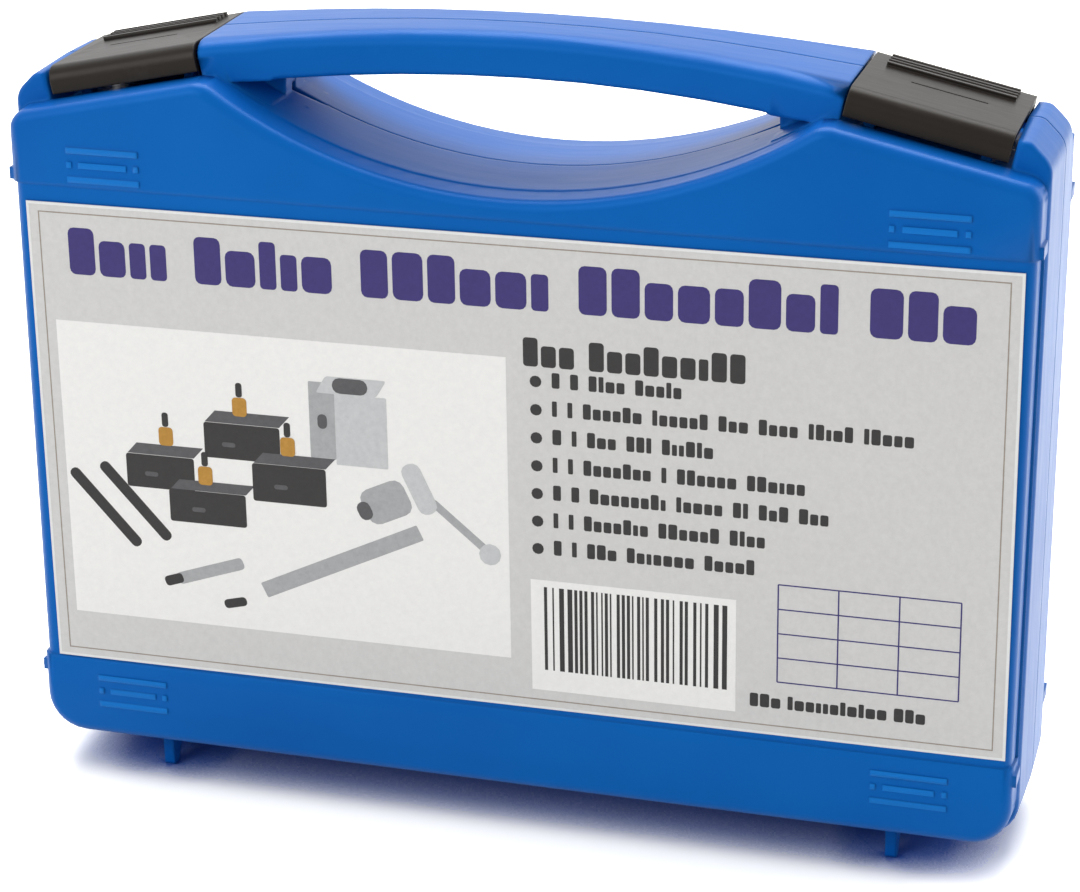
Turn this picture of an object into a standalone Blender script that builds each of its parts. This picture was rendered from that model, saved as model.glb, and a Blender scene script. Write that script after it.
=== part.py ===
"""A moulded carrying case with a grip: two hinged shells, two flip latches and a face label."""

import math

import bmesh
import bpy
from mathutils import Matrix, Vector

# Shell body. X runs across the case, Y into its depth and Z up; the shells part at Y = 0.
CASE_HALF_WIDTH = 0.1142
CASE_DEPTH = 0.0516
SHOULDER_Z = 0.1680
FOOT_HEIGHT = 0.0088
FACE_PROUD = 0.0073
RIM_DEPTH = CASE_DEPTH / 2 - FACE_PROUD
RIM_DRAFT = 0.0004
RIM_EDGE_RADIUS = 0.0010
FACE_SETBACK = 0.0012
FACE_DRAFT = 0.03
FACE_EDGE_RADIUS = 0.0025
FACE_SINK = 0.0005
RIM_CORNER_RADIUS = 0.0085
FACE_BOTTOM_RADIUS = 0.0090
WALL = 0.0022
FACE_WALL = 0.0027
PARTING_GAP = 0.0003
RUNNING_GAP = 0.0004

# Shoulders, latch seats and corner blocks. A seat point is (along, up) on the sloping shoulder.
CORNER_SPAN = 0.0442
SHOULDER_X = CASE_HALF_WIDTH - CORNER_SPAN
SHOULDER_SLOPE = math.radians(12.2)
FACE_CORNER_RADIUS = 0.0045
PEAK_RADIUS = 0.0060
SEAT_START = -0.0001
BLOCK_SPAN = 0.0085
SEAT_END = CORNER_SPAN - BLOCK_SPAN
SEAT_SINK = 0.0012
BLOCK_DROP = 0.0012
BLOCK_CUT = 0.0049
BLOCK_SIDE_RADIUS = 0.0060
BLOCK_TOP_RADIUS = 0.0034
BLOCK_REAR_SETBACK = 0.0055
INNER_CORNER_RADIUS = 0.0008

# Scoop under the grip and the grip itself.
SCOOP_DROP = 0.0194
SCOOP_BOTTOM = SHOULDER_Z - SCOOP_DROP
SCOOP_RISE = 0.02016
PEAK_SETBACK = 0.00355
SCOOP_HALF_CHORD = SHOULDER_X - PEAK_SETBACK
SCOOP_RADIUS = (SCOOP_HALF_CHORD**2 + SCOOP_RISE**2) / (2 * SCOOP_RISE)
FACE_SCOOP_DROP = 0.0009
SCOOP_STEPS = 12
GRIP_RISE = 0.0120
GRIP_HEIGHT = 0.0095
GRIP_DROP = 0.0049
GRIP_TOP = SHOULDER_Z + GRIP_RISE
GRIP_UNDERSIDE = GRIP_TOP - GRIP_HEIGHT
GRIP_CROWN = GRIP_DROP / SHOULDER_X**2
GRIP_HALF_DEPTH = 0.0120
GRIP_HALF_FLAT = 0.0080
GRIP_SPREAD_DEPTH = 0.0055
GRIP_SPREAD_FLAT = 0.0044
GRIP_TOP_ROUND = 0.0032
GRIP_UNDER_ROUND = 0.0012
HAND_INSET = 0.0150
HAND_HALF_WIDTH = SHOULDER_X - HAND_INSET
HAND_CORNER_RADIUS = 0.0020
UNDERCUT_LEAD = 0.0050
UNDERCUT_REACH = 0.0086
UNDERCUT_BACK = 0.0060
TOWER_SINK = 0.0098
TOWER_SHEAR_WIDTH = 0.0090
NOTCH_LEAD = 0.0075
NOTCH_REACH = 0.0040
NOTCH_WIDTH = 0.0028
NOTCH_DEPTH = 0.0014

# Label band, label, raised marks and side nubs.
BAND_LIFT = 0.0205
BAND_BELOW_SCOOP = 0.0051
BAND_BOTTOM = FOOT_HEIGHT + BAND_LIFT
BAND_TOP = SCOOP_BOTTOM - BAND_BELOW_SCOOP
BAND_STEP = 0.0006
BAND_SIDE_STEP = 0.0005
LABEL_SIDE_MARGIN = 0.0042
LABEL_TOP_MARGIN = 0.00325
LABEL_BOTTOM_MARGIN = 0.00125
LABEL_THICKNESS = 0.00025
LABEL_CENTRE_X = 0.00086
LABEL_TURN = math.radians(0.43)
MARK_INSET = 0.0151
MARK_LENGTH = 0.0168
MARK_BAR = 0.0013
MARK_RISE = 0.0004
MARK_DOT = 0.0011
MARK_SHORT_INSET = 0.0028
MARK_ROW_PITCH = 0.0033
MARK_BELOW_BAND = 0.0077
MARK_ABOVE_BAND = 0.0049
NUB_HEIGHT = 0.0027
NUB_BELOW_BAND = 0.0020
NUB_DEPTH = 0.0055
NUB_SETBACK = 0.0015
NUB_RISE = 0.0007

# Shell hinges and feet.
HINGE_DROP = 0.0045
HINGE_Z = FOOT_HEIGHT - HINGE_DROP
KNUCKLE_RADIUS = 0.0039
HINGE_PIN_RADIUS = 0.0012
PIN_GAP = 0.0003
LID_PLATE_INSET = 0.0282
LID_PLATE_THICKNESS = 0.0025
BASE_PLATE_THICKNESS = 0.0024
PIN_OVERHANG = 0.0006
FOOT_SETBACK = 0.0008
FOOT_LENGTH = 0.0029
FOOT_TOE_RADIUS = 0.0009

# Flip latches, in seat coordinates.
LATCH_TOP = 0.0072
LATCH_SHEET = 0.0016
LATCH_FRONT = RIM_DEPTH
LATCH_REAR_SETBACK = 0.0035
LATCH_REAR = RIM_DEPTH - LATCH_REAR_SETBACK
LATCH_SKIRT = 0.0013
LATCH_REAR_SKIRT = 0.0008
LATCH_FRONT_RADIUS = 0.0034
LATCH_REAR_RADIUS = 0.0020
LATCH_PIVOT_INSET = 0.0037
LATCH_PIVOT_DEPTH = LATCH_FRONT - LATCH_PIVOT_INSET
LATCH_PIVOT_UP = 0.0036
LATCH_PIN_RADIUS = 0.0007
LATCH_BARREL_RADIUS = 0.0017
LUG_THICKNESS = 0.0024
LUG_INSET = 0.0041
LUG_ARM_FRONT = 0.0027
LUG_ARM_BACK = 0.0056
RIB_COUNT = 4
RIB_PITCH = 0.0020
RIB_WIDTH = 0.0010
RIB_RISE = 0.0008
RIB_REAR_MARGIN = 0.0028
RIB_INSET = 0.0035
GROOVE_DEPTH = 0.0005
GROOVE_WIDTH = 0.0006
GROOVE_AT = -0.0022
GROOVE_START = 0.0105
GROOVE_END = 0.0270
CATCH_THICKNESS = 0.0022

ARC_STEPS = 5
CORNER_STEPS = 7
EDGE_STEPS = 4
SMALL_ARC_STEPS = 2
ROUND_SIDES = 20
PAST = 0.0020

FACE_DEPTH = CASE_DEPTH / 2
FACE_HALF_WIDTH = CASE_HALF_WIDTH - FACE_SETBACK
FACE_BOTTOM = FOOT_HEIGHT + FACE_SETBACK
FACE_ROOT = RIM_DEPTH - FACE_SINK
HALF_GAP = PARTING_GAP / 2


def seat_point(along, up):
    """The (x, z) of a point on the right shoulder's slope."""
    x = SHOULDER_X + along * math.cos(SHOULDER_SLOPE) + up * math.sin(SHOULDER_SLOPE)
    z = SHOULDER_Z - along * math.sin(SHOULDER_SLOPE) + up * math.cos(SHOULDER_SLOPE)
    return x, z


def scoop_height(x, bottom):
    return bottom + SCOOP_RADIUS - math.sqrt(SCOOP_RADIUS**2 - x**2)


def peak_x(bottom, up):
    """Where the scoop's arc meets the shoulder line that lies `up` off the slope."""
    slope = math.tan(SHOULDER_SLOPE)
    height = SHOULDER_Z + up / math.cos(SHOULDER_SLOPE) + SHOULDER_X * slope
    below = height - bottom - SCOOP_RADIUS
    inside = (slope * below) ** 2 - (1 + slope**2) * (below**2 - SCOOP_RADIUS**2)
    return (slope * below + math.sqrt(inside)) / (1 + slope**2)


def scoop_corners(bottom, end_x):
    """Corner points down the scoop from end_x to the middle."""
    end_angle = math.asin(end_x / SCOOP_RADIUS)
    corners = []
    for step in range(SCOOP_STEPS, -1, -1):
        x = SCOOP_RADIUS * math.sin(end_angle * step / SCOOP_STEPS)
        corners.append((x, scoop_height(x, bottom), 0.0, 0))
    return corners


def whole(half):
    """The outline's corners, anticlockwise, from those of its right half."""
    left = [(-x, z, radius, steps) for x, z, radius, steps in reversed(half) if x > 0]
    return half + left


def face_corners():
    """The raised face's outline at its front plane, as (x, z, radius, arc steps)."""
    bottom = SCOOP_BOTTOM - FACE_SCOOP_DROP
    top_x = peak_x(bottom, 0.0)
    top_z = scoop_height(top_x, bottom)
    side_along = (FACE_HALF_WIDTH - SHOULDER_X) / math.cos(SHOULDER_SLOPE)
    side_z = seat_point(side_along, 0.0)[1]
    half = [
        (FACE_HALF_WIDTH, FACE_BOTTOM, FACE_BOTTOM_RADIUS, CORNER_STEPS),
        (FACE_HALF_WIDTH, side_z, FACE_CORNER_RADIUS, CORNER_STEPS),
        (top_x, top_z, PEAK_RADIUS, CORNER_STEPS),
    ]
    return whole(half + scoop_corners(bottom, top_x - PEAK_RADIUS))


def rim_corners(hollow=False):
    """The rim body's outline at the parting plane. Its hollow has no corner blocks or ledges."""
    top_x = peak_x(SCOOP_BOTTOM, -SEAT_SINK if hollow else 0.0)
    top_z = scoop_height(top_x, SCOOP_BOTTOM)
    block_top = SHOULDER_Z - BLOCK_DROP
    rise = SEAT_END * math.sin(SHOULDER_SLOPE) - BLOCK_DROP
    block = seat_point(SEAT_END, rise / math.cos(SHOULDER_SLOPE))
    side_along = (CASE_HALF_WIDTH - SHOULDER_X) / math.cos(SHOULDER_SLOPE)
    ledge_corners = [
        (*seat_point(SEAT_START, -SEAT_SINK), 0.0, 0),
        (*seat_point(SEAT_START, 0.0), 0.0, 0),
    ]
    block_corners = [
        (CASE_HALF_WIDTH, block_top - BLOCK_CUT, BLOCK_SIDE_RADIUS, CORNER_STEPS),
        (CASE_HALF_WIDTH - BLOCK_CUT, block_top, BLOCK_TOP_RADIUS, CORNER_STEPS),
        (*block, 0.0, 0),
        (*seat_point(SEAT_END, -SEAT_SINK), 0.0, 0),
    ]
    if hollow:
        side_z = seat_point(side_along, -SEAT_SINK)[1]
        block_corners = [(CASE_HALF_WIDTH, side_z, FACE_CORNER_RADIUS, CORNER_STEPS)]
        ledge_corners = []
    half = [
        (CASE_HALF_WIDTH, FOOT_HEIGHT, RIM_CORNER_RADIUS, CORNER_STEPS),
        *block_corners,
        *ledge_corners,
        (top_x, top_z, INNER_CORNER_RADIUS, SMALL_ARC_STEPS),
    ]
    return whole(half + scoop_corners(SCOOP_BOTTOM, top_x - PEAK_RADIUS / 2))


def round_corner(before, corner, after, radius, steps):
    """Points of the arc that rounds one corner."""
    back = (before - corner).normalized()
    ahead = (after - corner).normalized()
    half_angle = back.angle(ahead) / 2
    centre = corner + (back + ahead).normalized() * radius / math.sin(half_angle)
    reach = radius / math.tan(half_angle)
    first = corner + back * reach - centre
    last = corner + ahead * reach - centre
    sweep = math.atan2(first.x * last.y - first.y * last.x, first.dot(last))
    return [centre + Matrix.Rotation(sweep * step / steps, 2) @ first for step in range(steps + 1)]


def outline(corners, inset=0.0):
    """The rounded outline, moved inward by `inset`, as a list of 2-D points."""
    sharp = [Vector(corner[:2]) for corner in corners]
    moved = []
    turns = []
    for index, corner in enumerate(sharp):
        arriving = (corner - sharp[index - 1]).normalized()
        leaving = (sharp[(index + 1) % len(sharp)] - corner).normalized()
        inward = Vector((-arriving.y - leaving.y, arriving.x + leaving.x))
        moved.append(corner + inward * inset / (1 + arriving.dot(leaving)))
        turns.append(arriving.x * leaving.y - arriving.y * leaving.x)
    points = []
    for index, corner in enumerate(moved):
        radius, steps = corners[index][2:]
        if not steps:
            points.append(corner)
            continue
        radius = radius - inset if turns[index] > 0 else radius + inset
        radius = max(radius, INNER_CORNER_RADIUS / 2)
        after = moved[(index + 1) % len(moved)]
        points += round_corner(moved[index - 1], corner, after, radius, steps)
    return points


def make_object(name, mesh_data):
    """A mesh object from a bmesh, with its normals facing out."""
    bmesh.ops.recalc_face_normals(mesh_data, faces=mesh_data.faces)
    mesh = bpy.data.meshes.new(name)
    mesh_data.to_mesh(mesh)
    mesh_data.free()
    made = bpy.data.objects.new(name, mesh)
    bpy.context.scene.collection.objects.link(made)
    return made


def loft(name, rings):
    """A closed solid through rings of 3-D points that all have the same count."""
    mesh_data = bmesh.new()
    loops = [[mesh_data.verts.new(point) for point in ring] for ring in rings]
    for near, far in zip(loops, loops[1:]):
        for index, corner in enumerate(near):
            after = (index + 1) % len(near)
            mesh_data.faces.new((corner, near[after], far[after], far[index]))
    mesh_data.faces.new(loops[0])
    mesh_data.faces.new(loops[-1])
    return make_object(name, mesh_data)


def box(name, low, high):
    """A box between two opposite corners."""
    mesh_data = bmesh.new()
    low = Vector(low)
    high = Vector(high)
    size = Matrix.Diagonal((*(high - low), 1.0))
    bmesh.ops.create_cube(mesh_data, size=1.0, matrix=Matrix.Translation((low + high) / 2) @ size)
    return make_object(name, mesh_data)


def rod(name, radius, start, end, sides=ROUND_SIDES):
    """A cylinder between two points."""
    start = Vector(start)
    along = Vector(end) - start
    turn = along.to_track_quat("Z", "Y").to_matrix().to_4x4()
    mesh_data = bmesh.new()
    bmesh.ops.create_cone(
        mesh_data,
        cap_ends=True,
        segments=sides,
        radius1=radius,
        radius2=radius,
        depth=along.length,
        matrix=Matrix.Translation(start + along / 2) @ turn,
    )
    return make_object(name, mesh_data)


def combine(target, tool, operation):
    """Joins or cuts the target with the tool, which is used up."""
    modifier = target.modifiers.new(operation.title(), "BOOLEAN")
    modifier.operation = operation
    modifier.solver = "EXACT"
    modifier.object = tool
    graph = bpy.context.evaluated_depsgraph_get()
    result = bpy.data.meshes.new_from_object(target.evaluated_get(graph))
    target.modifiers.clear()
    target.data = result
    bpy.data.objects.remove(tool)
    bpy.context.view_layer.update()


def stack(name, corners, levels, front):
    """A drafted solid through the outline at each (depth, inset); `front` is -1 or 1 along Y."""
    rings = []
    for depth, inset in levels:
        rings.append([(p.x, front * depth, p.y) for p in outline(corners, inset)])
    return loft(name, rings)


def edge_levels(depth, inset, radius, steps=EDGE_STEPS):
    """Levels that round an outline's outer edge, ending at `depth`."""
    levels = []
    for step in range(steps + 1):
        angle = math.pi / 2 * step / steps
        levels.append((depth - radius * (1 - math.sin(angle)), inset + radius * (1 - math.cos(angle))))
    return levels


def grip_span(x):
    """How far a section of the grip has spread towards its root, from 0 to 1."""
    return (x / SHOULDER_X) ** 2


def grip_underside(x):
    return GRIP_UNDERSIDE - GRIP_CROWN * x**2


def grip_stations(inset):
    """The (x, lowest z) of each section of the grip's right half, with the root tower."""
    bend_x = HAND_HALF_WIDTH - HAND_CORNER_RADIUS
    bend_z = grip_underside(bend_x) - HAND_CORNER_RADIUS
    radius = HAND_CORNER_RADIUS + inset
    stations = []
    for share in (0.0, 0.25, 0.5, 0.75):
        x = bend_x * share
        stations.append((x, grip_underside(x) + inset))
    for step in range(ARC_STEPS):
        angle = math.pi / 2 * step / (ARC_STEPS - 1)
        stations.append((bend_x + radius * math.sin(angle), bend_z + radius * math.cos(angle)))
    start = HAND_HALF_WIDTH + inset + PARTING_GAP
    end = SHOULDER_X + SEAT_START - HALF_GAP - inset
    for share in (0.0, 0.35, 0.7, 1.0):
        x = start + (end - start) * share
        stations.append((x, grip_underside(x) + inset if inset else SHOULDER_Z - TOWER_SINK))
    return stations


def grip_section(x, low, side, front, inset):
    """One half section of the grip, from the parting plane over the top and back below."""
    span = grip_span(x)
    depth = GRIP_HALF_DEPTH + GRIP_SPREAD_DEPTH * span - inset
    flat = GRIP_HALF_FLAT + GRIP_SPREAD_FLAT * span - inset / 2
    top = GRIP_TOP - GRIP_CROWN * x**2 - inset
    under = GRIP_UNDER_ROUND - inset / 2
    lean = max(0.0, 1.0 + (x - SHOULDER_X) / TOWER_SHEAR_WIDTH)
    profile = [(-PAST, top)]
    for step in range(EDGE_STEPS + 1):
        angle = math.pi / 2 * step / EDGE_STEPS
        rounding = (depth - flat) * math.sin(angle)
        profile.append((flat + rounding, top - GRIP_TOP_ROUND * (1 - math.cos(angle))))
    for step in range(SMALL_ARC_STEPS + 1):
        angle = math.pi / 2 * step / SMALL_ARC_STEPS
        profile.append((depth - under * (1 - math.cos(angle)), low + under * (1 - math.sin(angle))))
    profile.append((-PAST, low))
    section = []
    for reach, z in profile:
        shear = lean * (z - SHOULDER_Z) * math.tan(SHOULDER_SLOPE)
        section.append((side * (x + shear), front * reach, z))
    return section


def grip_half(name, front, inset=0.0):
    """The grip's half and its two root towers, drawn from left to right."""
    stations = grip_stations(inset)
    rings = [grip_section(x, low, -1, front, inset) for x, low in reversed(stations[1:])]
    rings += [grip_section(x, low, 1, front, inset) for x, low in stations]
    return loft(name, rings)


def seat_solid(name, side, profile, start, end):
    """A solid drawn along a latch seat from a (depth, up) profile."""
    rings = []
    for along in (start, end):
        ring = []
        for depth, up in profile:
            x, z = seat_point(along, up)
            ring.append((side * x, depth, z))
        rings.append(ring)
    return loft(name, rings)


def seat_rod(name, side, radius, start, end):
    """A round rod on the latch's pivot line."""
    ends = []
    for along in (start, end):
        x, z = seat_point(along, LATCH_PIVOT_UP)
        ends.append((side * x, -LATCH_PIVOT_DEPTH, z))
    return rod(name, radius, *ends)


def rectangle(low_depth, high_depth, low_up, high_up):
    return [(low_depth, low_up), (high_depth, low_up), (high_depth, high_up), (low_depth, high_up)]


def rounded_profile(corners):
    return [(point.x, point.y) for point in outline(corners)]


def lug_places():
    """Where along the seat each latch lug starts."""
    return (LUG_INSET, SEAT_END - LUG_INSET - LUG_THICKNESS)


def label_band_cutter(front):
    """Everything outside the shallow label band, between its upper and lower step."""
    depth = FACE_DEPTH - BAND_STEP
    radius = FACE_EDGE_RADIUS
    levels = [(RIM_DEPTH - PAST, BAND_SIDE_STEP - (depth - RIM_DEPTH) * FACE_DRAFT)]
    levels += edge_levels(depth, BAND_SIDE_STEP, radius)
    core = stack("BandCore", face_corners(), levels, front)
    near, far = sorted((front * (RIM_DEPTH + RIM_EDGE_RADIUS / 2), front * (FACE_DEPTH + PAST)))
    reach = CASE_HALF_WIDTH + PAST
    cutter = box("BandCutter", (-reach, near, BAND_BOTTOM), (reach, far, BAND_TOP))
    combine(cutter, core, "DIFFERENCE")
    return cutter


def add_marks(shell, front):
    """Three rows of raised bars and dots near each corner of the face."""
    near, far = sorted((front * (FACE_DEPTH - PAST), front * (FACE_DEPTH + MARK_RISE)))
    outer = CASE_HALF_WIDTH - MARK_INSET
    inner = outer - MARK_LENGTH
    for side in (-1, 1):
        for height in (BAND_BOTTOM - MARK_BELOW_BAND, BAND_TOP + MARK_ABOVE_BAND):
            for row in (-MARK_ROW_PITCH, 0.0, MARK_ROW_PITCH):
                spans = [(inner, outer)]
                if row == 0.0:
                    spans = [
                        (inner, inner + MARK_DOT),
                        (inner + MARK_SHORT_INSET, outer - MARK_SHORT_INSET),
                        (outer - MARK_DOT, outer),
                    ]
                low_z = height + row - MARK_BAR / 2
                for span in spans:
                    left, right = sorted((side * span[0], side * span[1]))
                    bar = box("Mark", (left, near, low_z), (right, far, low_z + MARK_BAR))
                    combine(shell, bar, "UNION")


def add_nubs(shell, front):
    """Small side nubs just outside the label band."""
    nub_front = FACE_DEPTH - NUB_SETBACK
    near, far = sorted((front * (nub_front - NUB_DEPTH), front * nub_front))
    inside = FACE_HALF_WIDTH - WALL / 2
    for side in (-1, 1):
        left, right = sorted((side * inside, side * (FACE_HALF_WIDTH + NUB_RISE)))
        for low_z in (BAND_BOTTOM - NUB_BELOW_BAND - NUB_HEIGHT, BAND_TOP + HALF_GAP):
            nub = box("Nub", (left, near, low_z), (right, far, low_z + NUB_HEIGHT))
            combine(shell, nub, "UNION")


def hinge_plate(name, side, front, start, end):
    """A foot plate that reaches from the shell's underside to the hinge knuckle."""
    top = FACE_BOTTOM + WALL / 2
    foot_front = RIM_DEPTH - FOOT_SETBACK
    foot_back = foot_front - FOOT_LENGTH
    corners = [
        (foot_front + RIM_DRAFT, top, 0.0, 0),
        (PARTING_GAP, top, 0.0, 0),
        (0.0, HINGE_Z, 0.0, 0),
        (KNUCKLE_RADIUS / 2, HINGE_Z - KNUCKLE_RADIUS * 0.8, 0.0, 0),
        (foot_back - FOOT_TOE_RADIUS * 2, HINGE_Z - RUNNING_GAP, FOOT_TOE_RADIUS, SMALL_ARC_STEPS),
        (foot_back, 0.0, FOOT_TOE_RADIUS, SMALL_ARC_STEPS),
        (foot_front, 0.0, FOOT_TOE_RADIUS, SMALL_ARC_STEPS),
    ]
    profile = outline(list(reversed(corners)))
    rings = []
    for x in (start, end):
        rings.append([(side * x, front * point.x, point.y) for point in profile])
    plate = loft(name, rings)
    knuckle = rod("Knuckle", KNUCKLE_RADIUS, (side * start, 0, HINGE_Z), (side * end, 0, HINGE_Z))
    combine(plate, knuckle, "UNION")
    return plate


def base_plate_spans():
    """The X spans of the two base plates that straddle the lid's plate."""
    reach = LID_PLATE_THICKNESS / 2 + RUNNING_GAP
    inner = CASE_HALF_WIDTH - LID_PLATE_INSET - reach
    outer = CASE_HALF_WIDTH - LID_PLATE_INSET + reach
    return ((inner - BASE_PLATE_THICKNESS, inner), (outer, outer + BASE_PLATE_THICKNESS))


def lid_plate_spans():
    middle = CASE_HALF_WIDTH - LID_PLATE_INSET
    half = LID_PLATE_THICKNESS / 2
    return ((middle - half, middle + half),)


def hinge_pin_span():
    inner, outer = base_plate_spans()
    return inner[0] - PIN_OVERHANG, outer[1] + PIN_OVERHANG


def moulded_shell(name, front):
    """One shell half: rim body, raised face and grip half, hollowed from the parting plane."""
    rim_levels = [(-PAST, -RIM_DRAFT * PAST / RIM_DEPTH)]
    rim_levels += edge_levels(RIM_DEPTH, RIM_DRAFT, RIM_EDGE_RADIUS)
    shell = stack(name, rim_corners(), rim_levels, front)
    face_levels = [(FACE_ROOT, -(FACE_DEPTH - FACE_ROOT) * FACE_DRAFT)]
    face_levels += edge_levels(FACE_DEPTH, 0.0, FACE_EDGE_RADIUS)
    combine(shell, stack("Face", face_corners(), face_levels, front), "UNION")
    combine(shell, grip_half("Grip", front), "UNION")
    rim_hollow = [(-2 * PAST, WALL), (RIM_DEPTH - WALL, WALL + RIM_DRAFT)]
    face_hollow = [(RIM_DEPTH - WALL - HALF_GAP, FACE_WALL), (FACE_DEPTH - FACE_WALL, FACE_WALL)]
    combine(shell, stack("RimHollow", rim_corners(True), rim_hollow, front), "DIFFERENCE")
    combine(shell, stack("FaceHollow", face_corners(), face_hollow, front), "DIFFERENCE")
    combine(shell, grip_half("GripHollow", front, WALL), "DIFFERENCE")
    cut_undercuts(shell, front)
    combine(shell, label_band_cutter(front), "DIFFERENCE")
    add_marks(shell, front)
    add_nubs(shell, front)
    return shell


def cut_undercuts(shell, front):
    """The shallow recess under the grip's edge at each end of the scoop."""
    near, far = sorted((front * UNDERCUT_BACK, front * (RIM_DEPTH + PAST)))
    for side in (-1, 1):
        rings = []
        for share in (0.0, 0.5, 1.0):
            x = HAND_HALF_WIDTH - UNDERCUT_LEAD + (UNDERCUT_LEAD + UNDERCUT_REACH) * share
            low = scoop_height(x, SCOOP_BOTTOM) - HALF_GAP
            high = max(grip_underside(x), low + HALF_GAP)
            rings.append([(side * x, depth, z) for depth, z in rectangle(near, far, low, high)])
        combine(shell, loft("Undercut", rings), "DIFFERENCE")


def cut_rear_blocks(base):
    """The base's corner blocks are shallower than the lid's."""
    profile = rectangle(RIM_DEPTH - BLOCK_REAR_SETBACK, FACE_DEPTH + PAST, HALF_GAP, SHOULDER_X)
    for side in (-1, 1):
        cutter = seat_solid("BlockCut", side, profile, SEAT_END - HALF_GAP, SHOULDER_X)
        combine(base, cutter, "DIFFERENCE")


def cut_notches(lid):
    """A tapering notch in the lid's parting edge at each end of the scoop."""
    for side in (-1, 1):
        rings = []
        ends = ((HAND_HALF_WIDTH - NOTCH_LEAD, PARTING_GAP), (HAND_HALF_WIDTH + NOTCH_REACH, NOTCH_WIDTH))
        for x, width in ends:
            height = scoop_height(x, SCOOP_BOTTOM)
            profile = rectangle(-width, PAST, height - NOTCH_DEPTH, height + NOTCH_DEPTH)
            rings.append([(side * x, depth, z) for depth, z in profile])
        combine(lid, loft("Notch", rings), "DIFFERENCE")


def cut_parting(shell, front):
    """Trims the shell square, half a parting gap short of Y = 0."""
    near, far = sorted((front * HALF_GAP, -front * PAST * 4))
    reach = CASE_HALF_WIDTH + PAST
    cutter = box("Parting", (-reach, near, FOOT_HEIGHT - PAST), (reach, far, GRIP_TOP + PAST))
    combine(shell, cutter, "DIFFERENCE")


def add_hinge(shell, front, spans):
    """Foot and hinge plates on both sides, bored for their pins."""
    start, end = hinge_pin_span()
    for side in (-1, 1):
        for span in spans:
            combine(shell, hinge_plate("Plate", side, front, *span), "UNION")
        bore_radius = HINGE_PIN_RADIUS + PIN_GAP
        ends = ((side * (start - PAST), 0, HINGE_Z), (side * (end + PAST), 0, HINGE_Z))
        combine(shell, rod("Bore", bore_radius, *ends), "DIFFERENCE")


def add_latch_lugs(lid):
    """Two lugs in each latch seat, which reach forward to the pin and clear the latch's skirt."""
    root = -SEAT_SINK - WALL / 2
    front = -LATCH_PIVOT_DEPTH - LATCH_BARREL_RADIUS
    top = LATCH_PIVOT_UP + LATCH_BARREL_RADIUS
    under = LATCH_PIVOT_UP - LATCH_BARREL_RADIUS
    rounding = LATCH_BARREL_RADIUS * 0.95
    lug = [
        (-LATCH_PIVOT_DEPTH + LUG_ARM_FRONT, root, 0.0, 0),
        (-LATCH_PIVOT_DEPTH + LUG_ARM_BACK, root, 0.0, 0),
        (-LATCH_PIVOT_DEPTH + LUG_ARM_BACK, top, rounding, ARC_STEPS),
        (front, top, rounding, ARC_STEPS),
        (front, under, rounding, ARC_STEPS),
        (-LATCH_PIVOT_DEPTH + LUG_ARM_FRONT, under, 0.0, 0),
    ]
    for side in (-1, 1):
        for start in lug_places():
            solid = seat_solid("Lug", side, rounded_profile(lug), start, start + LUG_THICKNESS)
            combine(lid, solid, "UNION")
        bore = seat_rod("LugBore", side, LATCH_PIN_RADIUS + PIN_GAP, LUG_INSET - PAST, SEAT_END - PAST)
        combine(lid, bore, "DIFFERENCE")


def add_catches(base):
    """A catch rib in each latch seat, for the latch's rear skirt to close behind."""
    outer = LATCH_REAR - LATCH_SHEET - RUNNING_GAP
    top = LATCH_TOP - LATCH_SHEET - RUNNING_GAP
    profile = rectangle(outer - CATCH_THICKNESS, outer, -SEAT_SINK - WALL / 2, top)
    for side in (-1, 1):
        rib = seat_solid("Catch", side, profile, LUG_INSET, SEAT_END - LUG_INSET)
        combine(base, rib, "UNION")


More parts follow.
